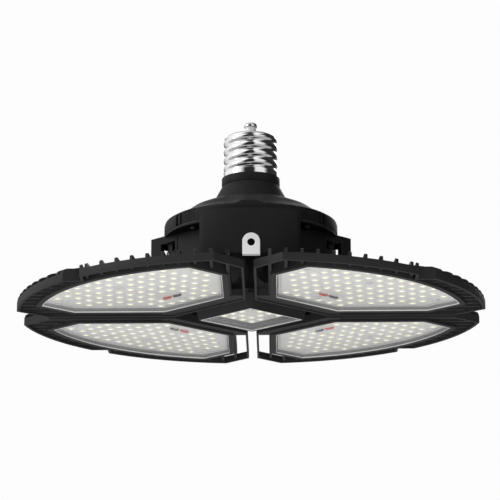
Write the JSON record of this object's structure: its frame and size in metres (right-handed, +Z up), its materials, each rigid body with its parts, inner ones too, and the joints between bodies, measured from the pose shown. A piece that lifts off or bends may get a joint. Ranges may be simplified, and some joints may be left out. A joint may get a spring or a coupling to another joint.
{
  "type": "folding wing ceiling light",
  "caption": "Ceiling light with hinged LED wings round a centre LED module, under a finned driver housing with a large screw base.",
  "frame": {"origin": "tip of the centre contact, on the screw base's axis", "axes": "+Z up along the screw base, out of the light towards the lampholder; X and Y run along the gaps between the wings, with the tether tab on -Y; the light hangs below the origin"},
  "size_m": [0.3256, 0.3256, 0.146],
  "materials": {
    "screw_black": "black oxide screws",
    "cast_black": "fine satin black powder coat on die-cast aluminium",
    "housing_black": "satin black moulded plastic",
    "shell_nickel": "bright nickel plate",
    "contact_solder": "bright domed contact",
    "base_ceramic": "white glazed insulator",
    "gasket_black": "black seal",
    "gasket_pale": "pale translucent silicone seal",
    "board_white": "white solder mask on an aluminium board",
    "board_green": "green solder mask",
    "led_package": "white LED package with pale yellow phosphor",
    "lens_clear": "clear polycarbonate cover",
    "screw_steel": "bright screw",
    "pin_steel": "blackened steel",
    "washer_nylon": "black friction washer",
    "core_iron": "laminated core",
    "winding_copper": "taped winding",
    "capacitor_sleeve": "dark sleeve",
    "chip_black": "moulded package",
    "wire_red": "red wire insulation",
    "wire_black": "black wire insulation",
    "tab_white": "bright pale plate"
  },
  "bodies": {
    "hub": {"screw_shell": "shell_nickel", "contact_insulator": "base_ceramic", "center_contact": "contact_solder", "neck_collar": "housing_black", "driver_cap": "housing_black", "cap_gasket": "gasket_black", "driver_housing": "cast_black", "cap_screws": "screw_black", "driver_board": "board_green", "transformer_core": "core_iron", "transformer_winding": "winding_copper", "driver_capacitors": "capacitor_sleeve", "driver_chips": "chip_black", "base_leads": "wire_black", "hinge_frame": "cast_black", "hinge_pins": "pin_steel", "hinge_nuts": "pin_steel", "friction_washers": "washer_nylon", "center_housing": "cast_black", "module_screws": "screw_steel", "center_lens": "lens_clear", "center_gasket": "gasket_black", "center_board": "board_white", "center_leds": "led_package", "center_board_screws": "screw_steel", "center_lead_red": "wire_red", "center_lead_black": "wire_black", "tether_tab": "tab_white"},
    "rear_right_wing": {"rear_right_heatsink": "cast_black", "rear_right_led_board": "board_white", "rear_right_leds": "led_package", "rear_right_board_screws": "screw_steel", "rear_right_lens_gasket": "gasket_pale", "rear_right_lens": "lens_clear", "rear_right_lead_red": "wire_red", "rear_right_lead_black": "wire_black"},
    "rear_left_wing": {"rear_left_heatsink": "cast_black", "rear_left_led_board": "board_white", "rear_left_leds": "led_package", "rear_left_board_screws": "screw_steel", "rear_left_lens_gasket": "gasket_pale", "rear_left_lens": "lens_clear", "rear_left_lead_red": "wire_red", "rear_left_lead_black": "wire_black"},
    "front_left_wing": {"front_left_heatsink": "cast_black", "front_left_led_board": "board_white", "front_left_leds": "led_package", "front_left_board_screws": "screw_steel", "front_left_lens_gasket": "gasket_pale", "front_left_lens": "lens_clear", "front_left_lead_red": "wire_red", "front_left_lead_black": "wire_black"},
    "front_right_wing": {"front_right_heatsink": "cast_black", "front_right_led_board": "board_white", "front_right_leds": "led_package", "front_right_board_screws": "screw_steel", "front_right_lens_gasket": "gasket_pale", "front_right_lens": "lens_clear", "front_right_lead_red": "wire_red", "front_right_lead_black": "wire_black"}
  },
  "joints": [
    {"name": "rear_right_fold", "type": "hinge", "parent": "hub", "child": "rear_right_wing", "pos_m": [0.03055, 0.03055, -0.0998], "axis": [0.7071, -0.7071, 0], "range_deg": [0, 60]},
    {"name": "rear_left_fold", "type": "hinge", "parent": "hub", "child": "rear_left_wing", "pos_m": [-0.03055, 0.03055, -0.0998], "axis": [0.7071, 0.7071, 0], "range_deg": [0, 60]},
    {"name": "front_left_fold", "type": "hinge", "parent": "hub", "child": "front_left_wing", "pos_m": [-0.03055, -0.03055, -0.0998], "axis": [-0.7071, 0.7071, 0], "range_deg": [0, 60]},
    {"name": "front_right_fold", "type": "hinge", "parent": "hub", "child": "front_right_wing", "pos_m": [0.03055, -0.03055, -0.0998], "axis": [-0.7071, -0.7071, 0], "range_deg": [0, 60]}
  ]
}
